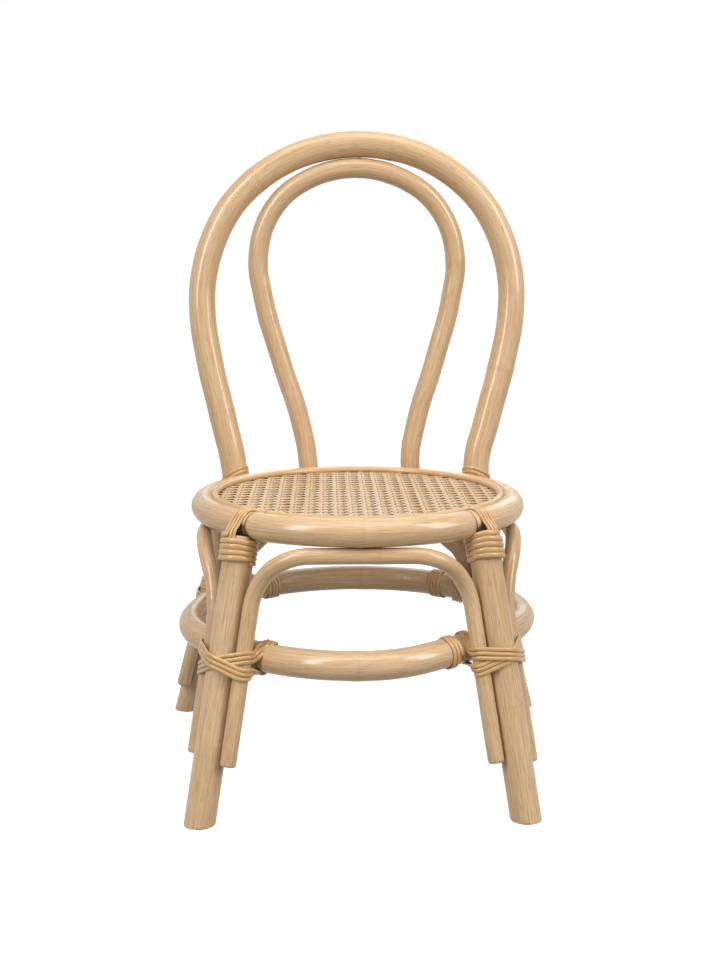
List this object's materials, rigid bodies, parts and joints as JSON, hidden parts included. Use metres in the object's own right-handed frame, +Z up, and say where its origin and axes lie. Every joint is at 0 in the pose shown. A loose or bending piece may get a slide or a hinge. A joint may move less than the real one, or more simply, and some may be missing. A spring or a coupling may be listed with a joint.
{
  "type": "rattan bistro chair",
  "caption": "Child's bistro chair of bent rattan poles: two nested back hoops, a round woven cane seat, arches under the seat, a stretcher ring and legs tied with peel.",
  "frame": {"origin": "on the floor, under the middle of the seat", "axes": "+X to the right and +Y to the back, seen from the front; +Z up"},
  "size_m": [0.3992, 0.3468, 0.6258],
  "materials": {
    "rattan_pole": "lacquered light rattan pole, fine brown dashes along it",
    "cane": "woven strands of glossy peel",
    "spline": "rounded, glossy, a little more orange than the poles",
    "peel": "glossy strips of rattan peel",
    "steel": "plain steel"
  },
  "bodies": {
    "root": {"outer_back_hoop": "rattan_pole", "inner_back_hoop": "rattan_pole", "seat_ring_front": "rattan_pole", "seat_ring_rear": "rattan_pole", "front_leg_left": "rattan_pole", "front_leg_right": "rattan_pole", "stretcher_ring": "rattan_pole", "arch_front": "rattan_pole", "arch_left": "rattan_pole", "arch_right": "rattan_pole", "cane_panel": "cane", "spline_ring": "spline", "leg_straps_left": "peel", "leg_straps_right": "peel", "leg_winding_left": "peel", "leg_winding_right": "peel", "hoop_collar_left": "peel", "hoop_collar_right": "peel", "lashing_front_left_under": "peel", "lashing_front_left_over": "peel", "collar_front_left": "peel", "lashing_front_right_under": "peel", "lashing_front_right_over": "peel", "collar_front_right": "peel", "lashing_rear_left_under": "peel", "lashing_rear_left_over": "peel", "collar_rear_left": "peel", "lashing_rear_right_under": "peel", "lashing_rear_right_over": "peel", "collar_rear_right": "peel", "leg_screws": "steel", "hoop_screws": "steel", "inner_hoop_screws": "steel", "hoop_top_screw": "steel", "arch_nails": "steel", "stretcher_screws": "steel"}
  },
  "joints": []
}
